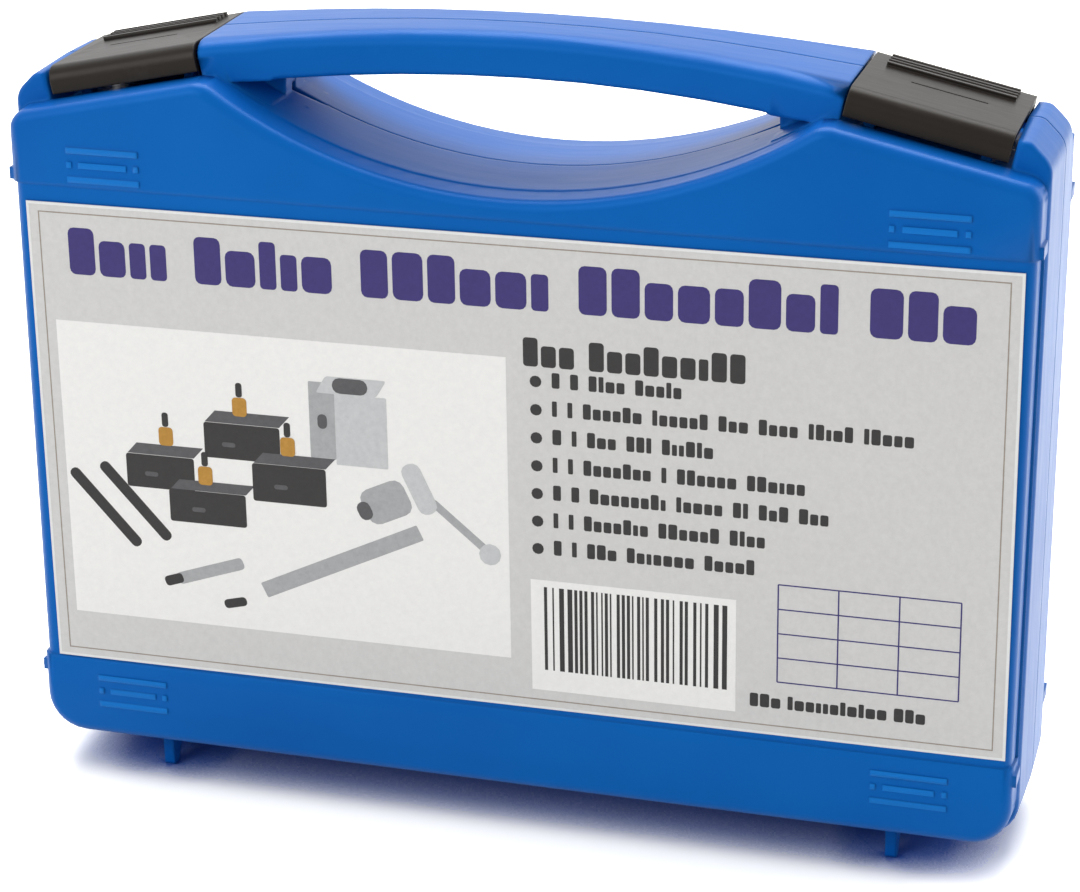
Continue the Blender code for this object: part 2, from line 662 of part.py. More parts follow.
def latch(name, side):
    """A flip latch: a saddle over both shells that turns on a barrel behind its front skirt."""
    start = SEAT_START + RUNNING_GAP
    end = SEAT_END - RUNNING_GAP
    inner_top = LATCH_TOP - LATCH_SHEET
    saddle = [
        (-LATCH_FRONT, LATCH_SKIRT, 0.0, 0),
        (-LATCH_FRONT + LATCH_SHEET, LATCH_SKIRT, 0.0, 0),
        (-LATCH_FRONT + LATCH_SHEET, inner_top, INNER_CORNER_RADIUS, SMALL_ARC_STEPS),
        (LATCH_REAR - LATCH_SHEET, inner_top, INNER_CORNER_RADIUS, SMALL_ARC_STEPS),
        (LATCH_REAR - LATCH_SHEET, LATCH_REAR_SKIRT, 0.0, 0),
        (LATCH_REAR, LATCH_REAR_SKIRT, 0.0, 0),
        (LATCH_REAR, LATCH_TOP, LATCH_REAR_RADIUS, ARC_STEPS),
        (-LATCH_FRONT, LATCH_TOP, LATCH_FRONT_RADIUS, ARC_STEPS),
    ]
    body = seat_solid(name, 1, rounded_profile(saddle), start, end)
    inner, outer = lug_places()
    barrel_start = inner + LUG_THICKNESS + RUNNING_GAP
    barrel_end = outer - RUNNING_GAP
    web = rectangle(
        -LATCH_FRONT + LATCH_SHEET / 2,
        -LATCH_PIVOT_DEPTH - HALF_GAP,
        LATCH_PIVOT_UP - LATCH_BARREL_RADIUS * 0.9,
        LATCH_PIVOT_UP + LATCH_BARREL_RADIUS * 0.9,
    )
    web_ends = (barrel_start + PARTING_GAP, barrel_end - PARTING_GAP)
    combine(body, seat_solid("Web", 1, web, *web_ends), "UNION")
    combine(body, seat_rod("Barrel", 1, LATCH_BARREL_RADIUS, barrel_start, barrel_end), "UNION")
    bore_radius = LATCH_PIN_RADIUS + PIN_GAP
    combine(body, seat_rod("Bore", 1, bore_radius, barrel_start - PAST, barrel_end + PAST), "DIFFERENCE")
    for index in range(RIB_COUNT):
        near = LATCH_REAR - RIB_REAR_MARGIN - RIB_WIDTH - index * RIB_PITCH
        rib = rectangle(near, near + RIB_WIDTH, inner_top + LATCH_SHEET / 2, LATCH_TOP + RIB_RISE)
        combine(body, seat_solid("Rib", 1, rib, start + RIB_INSET, end - RIB_INSET), "UNION")
    groove = rectangle(GROOVE_AT, GROOVE_AT + GROOVE_WIDTH, LATCH_TOP - GROOVE_DEPTH, LATCH_TOP + PAST)
    combine(body, seat_solid("Groove", 1, groove, GROOVE_START, GROOVE_END), "DIFFERENCE")
    if side < 0:
        body.data.transform(Matrix.Diagonal((-1.0, 1.0, 1.0, 1.0)))
        body.data.flip_normals()
    return body


def latch_pin(name, side):
    inner, outer = lug_places()
    return seat_rod(name, side, LATCH_PIN_RADIUS, inner, outer + LUG_THICKNESS)


def set_origin(made, origin):
    """Moves the object's origin onto a world point, leaving its shape in place."""
    made.data.transform(Matrix.Translation(-Vector(origin)))
    made.location = origin


def face_label():
    """The thin printed label in the band of the lid, turned a little as it was stuck on."""
    half_width = CASE_HALF_WIDTH - LABEL_SIDE_MARGIN
    bottom = BAND_BOTTOM + LABEL_BOTTOM_MARGIN
    half_height = (BAND_TOP - LABEL_TOP_MARGIN - bottom) / 2
    label = box(
        "label",
        (-half_width, -LABEL_THICKNESS / 2, -half_height),
        (half_width, LABEL_THICKNESS / 2, half_height),
    )
    back = FACE_DEPTH - BAND_STEP + PARTING_GAP
    label.location = (LABEL_CENTRE_X, -back - LABEL_THICKNESS / 2, bottom + half_height)
    label.rotation_euler = (0.0, -LABEL_TURN, 0.0)
    return label


def plastic(name, colour, roughness, metallic=0.0):
    material = bpy.data.materials.new(name)
    material.use_nodes = True
    shader = material.node_tree.nodes["Principled BSDF"]
    shader.inputs["Base Color"].default_value = (*colour, 1.0)
    shader.inputs["Roughness"].default_value = roughness
    shader.inputs["Metallic"].default_value = metallic
    return material


def finish(made, colour, roughness, metallic=0.0, crease=35.0):
    """Gives the object its own material and smooth shading between sharp edges."""
    made.data.materials.clear()
    made.data.materials.append(plastic(made.name + "_finish", colour, roughness, metallic))
    made.data.shade_smooth()
    made.data.set_sharp_from_angle(angle=math.radians(crease))


def clear_scene():
    for existing in list(bpy.data.objects):
        bpy.data.objects.remove(existing)


def main():
    clear_scene()
    blue = (0.006, 0.092, 0.398)
    charcoal = (0.055, 0.052, 0.048)
    steel = (0.62, 0.62, 0.60)
    paper = (0.60, 0.60, 0.59)
    hinge_axis = (0.0, 0.0, HINGE_Z)

    base = moulded_shell("base_shell", 1)
    cut_rear_blocks(base)
    add_catches(base)
    cut_parting(base, 1)
    add_hinge(base, 1, base_plate_spans())

    lid = moulded_shell("lid_shell", -1)
    add_latch_lugs(lid)
    cut_notches(lid)
    cut_parting(lid, -1)
    add_hinge(lid, -1, lid_plate_spans())
    set_origin(lid, hinge_axis)

    finish(base, blue, 0.42)
    finish(lid, blue, 0.42)
    for side, word in ((-1, "left"), (1, "right")):
        cover = latch("latch_" + word, side)
        x, z = seat_point(SEAT_END / 2, LATCH_PIVOT_UP)
        set_origin(cover, (side * x, -LATCH_PIVOT_DEPTH, z))
        finish(cover, charcoal, 0.5)
        finish(latch_pin("latch_pin_" + word, side), steel, 0.3, 1.0)
        start, end = hinge_pin_span()
        pin = rod(
            "hinge_pin_" + word,
            HINGE_PIN_RADIUS,
            (side * start, 0, HINGE_Z),
            (side * end, 0, HINGE_Z),
        )
        finish(pin, steel, 0.3, 1.0)
    finish(face_label(), paper, 0.45)


main()
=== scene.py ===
import math
import random

import bmesh
import bpy
from mathutils import Matrix, Vector


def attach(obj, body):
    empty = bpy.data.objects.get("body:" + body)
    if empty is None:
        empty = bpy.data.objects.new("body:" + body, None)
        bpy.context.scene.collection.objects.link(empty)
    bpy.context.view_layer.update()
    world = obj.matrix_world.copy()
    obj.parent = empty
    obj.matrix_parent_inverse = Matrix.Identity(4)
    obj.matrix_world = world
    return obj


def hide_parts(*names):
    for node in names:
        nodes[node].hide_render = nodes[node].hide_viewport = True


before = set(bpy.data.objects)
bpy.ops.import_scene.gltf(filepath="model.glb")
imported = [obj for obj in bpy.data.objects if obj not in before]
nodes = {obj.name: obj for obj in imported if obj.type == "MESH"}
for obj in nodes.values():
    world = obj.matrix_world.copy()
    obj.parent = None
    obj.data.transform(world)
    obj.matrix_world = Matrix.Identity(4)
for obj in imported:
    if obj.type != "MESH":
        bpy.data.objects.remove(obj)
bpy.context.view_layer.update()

print("frame loaded,", len(nodes), "nodes")


# colours are written as sRGB hex and turned linear here
def linearColour(hexText):
    channels = [int(hexText[i:i + 2], 16) / 255 for i in (1, 3, 5)]
    linear = [c / 12.92 if c <= 0.04045 else ((c + 0.055) / 1.055) ** 2.4 for c in channels]
    return linear + [1.0]


# one node with its settings; an input takes a value or another node's output
def addNode(tree, kind, inputs=None, **settings):
    node = tree.nodes.new("ShaderNode" + kind)
    for name, value in settings.items():
        setattr(node, name, value)
    for name, value in (inputs or {}).items():
        if isinstance(value, bpy.types.NodeSocket):
            tree.links.new(value, node.inputs[name])
        else:
            node.inputs[name].default_value = value
    return node


def startMaterial(name):
    material = bpy.data.materials.new(name)
    material.use_nodes = True
    tree = material.node_tree
    place = addNode(tree, "TexCoord").outputs["Object"]
    return material, tree, tree.nodes["Principled BSDF"], place


# a finished shape becomes an object of one material
def addPiece(name, shape, material):
    mesh = bpy.data.meshes.new(name)
    shape.to_mesh(mesh)
    shape.free()
    mesh.materials.append(material)
    piece = bpy.data.objects.new(name, mesh)
    bpy.context.scene.collection.objects.link(piece)
    return piece


# injection-moulded polypropylene: a satin skin with an eroded-mould grain that breaks up
# the reflections, soft clouding from the pigment, pale rubs where cases slide and knock,
# and rims lightened partly as wear and partly as painted highlight
def mouldedPlastic(name, look):
    material, tree, shader, place = startMaterial(name)
    clouds = addNode(tree, "TexNoise", {
        "Vector": place, "Scale": 1 / look["cloudSize"], "Detail": 3.0})
    pigment = addNode(tree, "ValToRGB", {"Fac": clouds.outputs["Fac"]})
    pigment.color_ramp.elements[0].position = look["cloudFrom"]
    pigment.color_ramp.elements[1].position = look["cloudFull"]
    pigment.color_ramp.elements[0].color = linearColour(look["deepColour"])
    pigment.color_ramp.elements[1].color = linearColour(look["colour"])
    stretched = addNode(tree, "Mapping", {
        "Vector": place, "Rotation": look["scuffTurn"], "Scale": look["scuffStretch"]})
    scuffs = addNode(tree, "TexNoise", {
        "Vector": stretched.outputs["Vector"], "Scale": 1 / look["scuffSize"],
        "Detail": 6.0, "Roughness": 0.7})
    scuffShare = addNode(tree, "MapRange", {
        "Value": scuffs.outputs["Fac"], "From Min": look["scuffFrom"],
        "From Max": look["scuffFull"], "To Max": look["scuffShare"]})
    # the bevelled normal leaves the true one only next to an edge, which marks the rims: lightened
    # there as wear and as painted highlight
    rounded = addNode(tree, "Bevel", {"Radius": look["edgeRadius"]}, samples=6)
    surface = addNode(tree, "NewGeometry")
    turned = addNode(tree, "VectorMath", {
        0: rounded.outputs["Normal"], 1: surface.outputs["Normal"]}, operation="DOT_PRODUCT")
    edgeWearAndHighlight = addNode(tree, "MapRange", {
        "Value": turned.outputs["Value"], "From Min": look["edgeFrom"],
        "From Max": look["edgeFull"], "To Max": look["edgeWearAndHighlight"]})
    wearAndHighlight = addNode(tree, "Math", {
        0: scuffShare.outputs["Result"], 1: edgeWearAndHighlight.outputs["Result"]},
        operation="ADD", use_clamp=True)
    wornAndHighlighted = addNode(tree, "Mix", {
        0: wearAndHighlight.outputs["Value"], 6: pigment.outputs["Color"],
        7: linearColour(look["rubbedAndHighlightColour"])}, data_type="RGBA")
    # the tops of the raised marks are painted brighter than the face they stand on, a painted
    # highlight where they catch the light
    axes = addNode(tree, "SeparateXYZ", {"Vector": place})
    proud = addNode(tree, "Math", {0: axes.outputs["Y"]}, operation="ABSOLUTE")
    raised = addNode(tree, "Math", {
        0: proud.outputs["Value"], 1: look["raisedFrom"]}, operation="GREATER_THAN")
    markTopsHighlighted = addNode(tree, "Mix", {
        0: raised.outputs["Value"], 6: wornAndHighlighted.outputs[2],
        7: linearColour(look["markTopHighlightColour"])}, data_type="RGBA")
    tree.links.new(markTopsHighlighted.outputs[2], shader.inputs["Base Color"])
    sheen = addNode(tree, "MapRange", {
        "Value": scuffs.outputs["Fac"], "From Min": look["sheenFrom"],
        "From Max": look["sheenFull"], "To Min": look["roughness"] - look["sheenBelow"],
        "To Max": look["roughness"] + look["sheenAbove"]})
    tree.links.new(sheen.outputs["Result"], shader.inputs["Roughness"])
    grain = addNode(tree, "TexNoise", {
        "Vector": place, "Scale": 1 / look["grainSize"], "Detail": 2.0})
    sink = addNode(tree, "TexNoise", {
        "Vector": place, "Scale": 1 / look["sinkSize"], "Detail": 1.0})
    waves = addNode(tree, "Bump", {
        "Height": sink.outputs["Fac"], "Strength": 0.5, "Distance": look["sinkDepth"],
        "Normal": rounded.outputs["Normal"]})
    skin = addNode(tree, "Bump", {
        "Height": grain.outputs["Fac"], "Strength": 0.6, "Distance": look["grainDepth"],
        "Normal": waves.outputs["Normal"]})
    tree.links.new(skin.outputs["Normal"], shader.inputs["Normal"])
    shader.inputs["IOR"].default_value = look["ior"]
    shader.inputs["Specular Tint"].default_value = linearColour(look["glossTint"])
    return material


plasticLook = {
    "cloudFrom": 0.3,
    "cloudFull": 0.7,
    "scuffTurn": (0.5, 0.35, 0.9),
    "scuffStretch": (1.0, 9.0, 1.0),
    "scuffFrom": 0.6,
    "scuffFull": 0.85,
    "edgeFrom": 0.995,          # dot product of the two normals where wear starts
    "edgeFull": 0.8,
    "sheenFrom": 0.3,
    "sheenFull": 0.8,
    "sheenBelow": 0.04,         # how far the roughness swings round its middle
    "sheenAbove": 0.07,
}
casePlasticLook = {
    **plasticLook,
    "colour": "#085eb0",
    "deepColour": "#0857a8",
    # the tops of the marks take this colour as a painted highlight
    "markTopHighlightColour": "#1670c4",
    "raisedFrom": 0.02595,      # between the face and the tops of its marks
    # pale rubs, also laid on the rims as painted highlight
    "rubbedAndHighlightColour": "#2f7cc8",
    "glossTint": "#4690e8",
    "roughness": 0.34,
    "ior": 1.49,
    "cloudSize": 0.045,
    "scuffSize": 0.020,
    "scuffShare": 0.06,
    "edgeRadius": 0.0012,
    "edgeWearAndHighlight": 0.14,
    "grainSize": 0.0006,        # real grain is nearer 0.2 mm, drawn coarser so it shows
    "grainDepth": 0.000012,
    "sinkSize": 0.030,
    "sinkDepth": 0.00025,
}
latchPlasticLook = {
    **plasticLook,
    "colour": "#181410",
    "deepColour": "#14100d",
    "markTopHighlightColour": "#181410",
    "raisedFrom": 1.0,          # past the whole part, so no latch has brighter tops
    # pale rubs, also laid on the rims as painted highlight
    "rubbedAndHighlightColour": "#565350",
    "glossTint": "#a9a49f",
    "roughness": 0.36,
    "ior": 1.47,
    "cloudSize": 0.020,
    "scuffSize": 0.010,
    "scuffShare": 0.18,
    "edgeRadius": 0.0005,
    "edgeWearAndHighlight": 0.30,
    "grainSize": 0.0005,
    "grainDepth": 0.000015,
    "sinkSize": 0.012,
    "sinkDepth": 0.00010,
}
casePlastic = mouldedPlastic("mouldedPolypropyleneBlue", casePlasticLook)
latchPlastic = mouldedPlastic("mouldedPolypropyleneCharcoal", latchPlasticLook)


# drawn steel wire: dull metal with fine lines along its length, as the die leaves it
def drawnSteel(name, look):
    material, tree, shader, place = startMaterial(name)
    along = addNode(tree, "Mapping", {
        "Vector": place, "Scale": (look["lineStretch"], 1.0, 1.0)})
    lines = addNode(tree, "TexNoise", {
        "Vector": along.outputs["Vector"], "Scale": 1 / look["lineSize"], "Detail": 4.0})
    tone = addNode(tree, "ValToRGB", {"Fac": lines.outputs["Fac"]})
    tone.color_ramp.elements[0].color = linearColour(look["dullColour"])
    tone.color_ramp.elements[1].color = linearColour(look["colour"])
    tree.links.new(tone.outputs["Color"], shader.inputs["Base Color"])
    gloss = addNode(tree, "MapRange", {
        "Value": lines.outputs["Fac"], "To Min": look["smoothest"], "To Max": look["roughest"]})
    tree.links.new(gloss.outputs["Result"], shader.inputs["Roughness"])
    marks = addNode(tree, "Bump", {
        "Height": lines.outputs["Fac"], "Strength": 0.3, "Distance": look["lineDepth"]})
    tree.links.new(marks.outputs["Normal"], shader.inputs["Normal"])
    shader.inputs["Metallic"].default_value = 1.0
    return material


pinLook = {
    "colour": "#6c6b69",
    "dullColour": "#4f4e4c",
    "lineSize": 0.0002,
    "lineStretch": 0.05,
    "lineDepth": 0.00001,
    "smoothest": 0.34,
    "roughest": 0.54,
}
pinSteel = drawnSteel("drawnSteelWire", pinLook)


# laminated sticker paper: even print under a thin satin film, with paper mottle
# and a little waviness from the hand that stuck it on
def laminatedPaper(name, look):
    material, tree, shader, place = startMaterial(name)
    mottle = addNode(tree, "TexNoise", {
        "Vector": place, "Scale": 1 / look["mottleSize"], "Detail": 5.0, "Roughness": 0.65})
    tone = addNode(tree, "ValToRGB", {"Fac": mottle.outputs["Fac"]})
    tone.color_ramp.elements[0].position = look["mottleFrom"]
    tone.color_ramp.elements[1].position = look["mottleFull"]
    tone.color_ramp.elements[0].color = linearColour(look["deepColour"])
    tone.color_ramp.elements[1].color = linearColour(look["colour"])
    tree.links.new(tone.outputs["Color"], shader.inputs["Base Color"])
    film = addNode(tree, "TexNoise", {
        "Vector": place, "Scale": 1 / look["filmSize"], "Detail": 2.0})
    gloss = addNode(tree, "MapRange", {
        "Value": film.outputs["Fac"], "To Min": look["roughness"] - look["glossSpread"],
        "To Max": look["roughness"] + look["glossSpread"]})
    tree.links.new(gloss.outputs["Result"], shader.inputs["Roughness"])
    wave = addNode(tree, "Bump", {
        "Height": film.outputs["Fac"], "Strength": 0.4, "Distance": look["waveDepth"]})
    fibre = addNode(tree, "Bump", {
        "Height": mottle.outputs["Fac"], "Strength": 0.3, "Distance": look["fibreDepth"],
        "Normal": wave.outputs["Normal"]})
    tree.links.new(fibre.outputs["Normal"], shader.inputs["Normal"])
    shader.inputs["IOR"].default_value = look["ior"]
    shader.inputs["Specular IOR Level"].default_value = look["specular"]
    return material


paperLook = {
    "mottleSize": 0.0012,
    "mottleFrom": 0.3,
    "mottleFull": 0.7,
    "filmSize": 0.022,
    "roughness": 0.42,
    "glossSpread": 0.08,
    "waveDepth": 0.00012,
    "fibreDepth": 0.00001,
    "ior": 1.48,
    "specular": 0.3,
}


def printedPaper(name, colour, deepColour):
    return laminatedPaper(name, {**paperLook, "colour": colour, "deepColour": deepColour})


greyPaper = printedPaper("laminatedPaperGrey", "#cfcfd0", "#c7c7c8")
edgePaper = printedPaper("laminatedPaperEdge", "#e2e4e6", "#dcdee0")
whiteInk = printedPaper("printedFieldWhite", "#ececec", "#e6e6e7")
indigoInk = printedPaper("printedInkIndigo", "#352c70", "#2e2666")
blackInk = printedPaper("printedInkBlack", "#2b2a2c", "#232224")
hairInk = printedPaper("printedInkHairline", "#9c938b", "#8f867e")
steelInk = printedPaper("printedInkSteel", "#a9abae", "#9b9da1")
brightInk = printedPaper("printedInkBright", "#c6c8cb", "#b9bbbf")
graphiteInk = printedPaper("printedInkGraphite", "#56565a", "#4c4c50")
brassInk = printedPaper("printedInkBrass", "#b88a3c", "#a87a30")
print("materials made")


skinSizes = {
    "mergeGap": 0.000002,
    "flatAngle": math.radians(0.6),
    "hardAngle": math.radians(38.0),
    "faceWeight": 80,
}


# a CAD node's mesh, merged into one skin and shaded smooth between its hard edges
def mergedCopy(nodeName, pieceName, material):
    skin = bmesh.new()
    skin.from_mesh(nodes[nodeName].data)
    bmesh.ops.remove_doubles(skin, verts=skin.verts, dist=skinSizes["mergeGap"])
    bmesh.ops.dissolve_degenerate(skin, edges=skin.edges, dist=skinSizes["mergeGap"])
    bmesh.ops.dissolve_limit(skin, angle_limit=skinSizes["flatAngle"], verts=skin.verts,
                             edges=skin.edges)
    piece = addPiece(pieceName, skin, material)
    for face in piece.data.polygons:
        face.material_index = 0
    piece.data.shade_smooth()
    piece.data.set_sharp_from_angle(angle=skinSizes["hardAngle"])
    weighted = piece.modifiers.new("evenShading", "WEIGHTED_NORMAL")
    weighted.keep_sharp = True
    weighted.weight = skinSizes["faceWeight"]
    return piece


for nodeName, body in (("base_shell", "base"), ("lid_shell", "lid")):
    shell = mergedCopy(nodeName, nodeName + "Skin", casePlastic)
    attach(shell, body)
    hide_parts(nodeName)
for nodeName, body in (("latch_left", "latch_l"), ("latch_right", "latch_r")):
    cover = mergedCopy(nodeName, nodeName + "Skin", latchPlastic)
    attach(cover, body)
    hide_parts(nodeName)
for nodeName in ("latch_pin_left", "latch_pin_right", "hinge_pin_left", "hinge_pin_right"):
    nodes[nodeName].data.materials.clear()
    nodes[nodeName].data.materials.append(pinSteel)
print("shells, latches and pins dressed")

# the low bead on the base's rim, set in from the outside, that stops light passing where
# the shells part; its path, as (x, z), is given for the right half and mirrored
beadSizes = {
    "parting": 0.00015,         # where the base's rim lies
    "root": 0.00010,            # how far the bead reaches into the rim, and stands past it
    "rise": 0.00026,
    "width": 0.0012,
    "side": 0.11306,
    "foot": 0.00994,
    "cornerX": 0.1057,
    "cornerZ": 0.0173,
    "cornerSteps": 6,
    "shoulder": ((0.1080, 0.1656), (0.1095, 0.1649), (0.1114, 0.1631), (0.1126, 0.1610),
                 (0.11306, 0.1590)),
}


def beadPath():
    right = list(beadSizes["shoulder"])
    centreX, centreZ = beadSizes["cornerX"], beadSizes["cornerZ"]
    wide, tall = beadSizes["side"] - centreX, centreZ - beadSizes["foot"]
    for step in range(beadSizes["cornerSteps"] + 1):
        turn = math.pi / 2 * step / beadSizes["cornerSteps"]
        right.append((centreX + wide * math.cos(turn), centreZ - tall * math.sin(turn)))
    return [Vector(point) for point in right] + [Vector((-x, z)) for x, z in reversed(right)]


def partingBead():
    path = beadPath()
    near = beadSizes["parting"] + beadSizes["root"]
    far = beadSizes["parting"] - beadSizes["rise"]
    bead = bmesh.new()
    rings = []
    for index, point in enumerate(path):
        ahead = path[min(index + 1, len(path) - 1)] - path[max(index - 1, 0)]
        across = Vector((-ahead.y, ahead.x)).normalized() * beadSizes["width"] / 2
        corners = ((point + across, near), (point + across, far),
                   (point - across, far), (point - across, near))
        rings.append([bead.verts.new((spot.x, depth, spot.y)) for spot, depth in corners])
    for here, there in zip(rings, rings[1:]):
        for side in range(len(here)):
            after = (side + 1) % len(here)
            bead.faces.new((here[side], here[after], there[after], there[side]))
    bead.faces.new(rings[0])
    bead.faces.new(reversed(rings[-1]))
    bmesh.ops.recalc_face_normals(bead, faces=bead.faces)
    piece = addPiece("partingBead", bead, casePlastic)
    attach(piece, "base")


partingBead()
print("parting bead laid")


# the printed label, in millimetres from its own centre: u to the right, v up;
# only the place of that centre is in metres
labelSizes = {
    "centreX": 0.00086,
    "centreZ": 0.0854,
    "front": -0.02575,
    "unit": 0.001,
    "halfWidth": 110.0,
    "halfHeight": 54.85,
    "turn": math.radians(0.43),
    "ink": 0.03,                # how far each layer of print stands proud
    "sunk": 0.08,               # how far it reaches into the sheet
    "cornerSegments": 3,
}


def labelMatrix():
    place = Matrix.Translation((labelSizes["centreX"], labelSizes["front"], labelSizes["centreZ"]))
    place = place @ Matrix.Rotation(-labelSizes["turn"], 4, "Y")
    return place @ Matrix.Scale(labelSizes["unit"], 4)


# one printed field: a thin slab with rounded corners, `lift` layers above the first, turned
# clockwise by `angle` degrees and leaning right by `lean` for each millimetre of height
def addField(print3d, u, v, width, height, radius=0.0, lift=0, angle=0.0, lean=0.0):
    low = -labelSizes["ink"] * (1 + lift)
    depth = labelSizes["sunk"] - low
    slant = Matrix.Identity(4)
    slant[0][2] = lean
    place = Matrix.Translation((u, low + depth / 2, v))
    place = place @ Matrix.Rotation(math.radians(angle), 4, "Y") @ slant
    place = place @ Matrix.Diagonal((width, depth, height, 1.0))
    made = bmesh.ops.create_cube(print3d, size=1.0, matrix=place)
    if radius:
        corners = set()
        for vert in made["verts"]:
            for edge in vert.link_edges:
                if abs(edge.verts[0].co.y - edge.verts[1].co.y) > depth / 2:
                    corners.add(edge)
        bmesh.ops.bevel(print3d, geom=list(corners), offset=radius, affect="EDGES",
                        segments=labelSizes["cornerSegments"], profile=0.5, material=-1)


def finishPrint(print3d, name, material):
    bmesh.ops.transform(print3d, matrix=labelMatrix(), verts=print3d.verts)
    piece = addPiece(name, print3d, material)
    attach(piece, "lid")
    return piece


nodes["label"].data.materials.clear()
nodes["label"].data.materials.append(greyPaper)

# a pale band along the sheet's edge, and a hairline frame inside it
frameSizes = {"margin": 0.02, "edgeBand": 0.6, "insetSide": 2.7, "insetTop": 2.1, "line": 0.28}


def addRing(print3d, halfWidth, halfHeight, line):
    for sign in (-1, 1):
        addField(print3d, 0.0, sign * (halfHeight - line / 2), 2 * halfWidth, line)
        addField(print3d, sign * (halfWidth - line / 2), 0.0, line, 2 * (halfHeight - line))


ring = bmesh.new()
addRing(ring, labelSizes["halfWidth"] - frameSizes["margin"],
        labelSizes["halfHeight"] - frameSizes["margin"], frameSizes["edgeBand"])
finishPrint(ring, "labelEdge", edgePaper)
ring = bmesh.new()
addRing(ring, labelSizes["halfWidth"] - frameSizes["insetSide"],
        labelSizes["halfHeight"] - frameSizes["insetTop"], frameSizes["line"])
finishPrint(ring, "labelHairline", hairInk)

# heading, list and footer are rows of plain blocks in groups, tall or low
blockLook = {
    "seed": 7,
    "widths": (0.62, 1.0, 1.0, 1.0, 1.12),
    "tallShare": 0.22,
    "cornerShare": 0.22,
}
rowLook = {
    "heading": {"left": -100.5, "base": 38.6, "block": 6.6, "gap": 1.1, "space": 6.0,
                "low": 8.2, "tall": 10.8, "words": (4, 5, 6, 8, 3), "end": 101.5},
    "listHead": {"left": 3.7, "base": 26.0, "block": 3.3, "gap": 0.7, "space": 2.6,
                 "low": 4.8, "tall": 6.5, "words": (3, 9)},
    "list": {"left": 10.0, "first": 21.4, "pitch": 6.47, "block": 1.75, "gap": 0.45,
             "space": 1.9, "low": 2.5, "tall": 3.5,
             "rows": ((1, 1, 4, 5), (1, 1, 6, 6, 3, 4, 5, 5), (1, 1, 3, 3, 6),
                      (1, 1, 7, 1, 6, 6), (1, 1, 8, 5, 2, 3, 3), (1, 1, 7, 6, 4),
                      (1, 1, 3, 7, 5)),
             "dotRadius": 1.3, "dotLeft": 6.4, "dotCorner": 0.95},
    "footer": {"left": 54.0, "base": -48.4, "block": 1.85, "gap": 0.4, "space": 1.2,
               "low": 2.4, "tall": 3.2, "words": (3, 11, 3)},
}


def addBlocks(print3d, left, base, look, words, chance):
    u = left
    for count in words:
        for index in range(count):
            isTall = index == 0 or chance.random() < blockLook["tallShare"]
            height = look["tall"] if isTall else look["low"]
            width = look["block"] * chance.choice(blockLook["widths"])
            addField(print3d, u + width / 2, base + height / 2, width, height,
                     min(width, height) * blockLook["cornerShare"])
            u += width + look["gap"]
        u += look["space"]
    return u


chance = random.Random(blockLook["seed"])
heading = bmesh.new()
headingLook = rowLook["heading"]
reach = addBlocks(heading, 0.0, 0.0, headingLook, headingLook["words"], chance)
stretch = (headingLook["end"] - headingLook["left"]) / (reach - headingLook["space"])
fit = Matrix.Translation((headingLook["left"], 0.0, headingLook["base"]))
fit = fit @ Matrix.Diagonal((stretch, 1.0, 1.0, 1.0))
bmesh.ops.transform(heading, matrix=fit, verts=heading.verts)
finishPrint(heading, "labelHeading", indigoInk)

listing = bmesh.new()
listHead = rowLook["listHead"]
addBlocks(listing, listHead["left"], listHead["base"], listHead, listHead["words"], chance)
listLook = rowLook["list"]
for row, words in enumerate(listLook["rows"]):
    base = listLook["first"] - row * listLook["pitch"]
    dot = 2 * listLook["dotRadius"]
    addField(listing, listLook["dotLeft"], base + listLook["low"] / 2, dot, dot,
             listLook["dotRadius"] * listLook["dotCorner"])
    addBlocks(listing, listLook["left"], base, listLook, words, chance)
finishPrint(listing, "labelList", blackInk)

footer = bmesh.new()
footerLook = rowLook["footer"]
addBlocks(footer, footerLook["left"], footerLook["base"], footerLook, footerLook["words"], chance)
finishPrint(footer, "labelFooter", blackInk)

# the picture field, the stripe panel and a plain ruled table
panelSizes = {
    "picture": {"left": -104.8, "right": -0.2, "top": 27.6, "bottom": -43.2},
    "stripes": {"left": 4.6, "right": 50.8, "top": -23.6, "bottom": -50.2, "margin": 3.0,
                "head": 1.6, "foot": 5.0, "widths": (0.35, 0.35, 0.7, 0.7, 1.1),
                "gaps": (0.45, 0.8, 1.2)},
    "table": {"left": 60.0, "right": 99.5, "top": -19.0, "bottom": -42.0, "columns": 3,
              "rows": 4, "line": 0.3},
}


def addPanel(print3d, panel):
    addField(print3d, (panel["left"] + panel["right"]) / 2, (panel["top"] + panel["bottom"]) / 2,
             panel["right"] - panel["left"], panel["top"] - panel["bottom"])


field = bmesh.new()
stripes = panelSizes["stripes"]
addPanel(field, panelSizes["picture"])
addPanel(field, stripes)
finishPrint(field, "labelWhiteFields", whiteInk)

bars = bmesh.new()
u = stripes["left"] + stripes["margin"]
barTop = stripes["top"] - stripes["head"]
barFoot = stripes["bottom"] + stripes["foot"]
while u < stripes["right"] - stripes["margin"]:
    width = chance.choice(stripes["widths"])
    addField(bars, u + width / 2, (barTop + barFoot) / 2, width, barTop - barFoot, lift=1)
    u += width + chance.choice(stripes["gaps"])
finishPrint(bars, "labelBars", blackInk)

table = panelSizes["table"]
tableWidth, tableHeight = table["right"] - table["left"], table["top"] - table["bottom"]
ruled = bmesh.new()
for row in range(table["rows"] + 1):
    v = table["bottom"] + tableHeight * row / table["rows"]
    addField(ruled, (table["left"] + table["right"]) / 2, v, tableWidth, table["line"])
for column in range(table["columns"] + 1):
    u = table["left"] + tableWidth * column / table["columns"]
    addField(ruled, u, (table["top"] + table["bottom"]) / 2, table["line"], tableHeight, lift=1)
finishPrint(ruled, "labelTable", indigoInk)

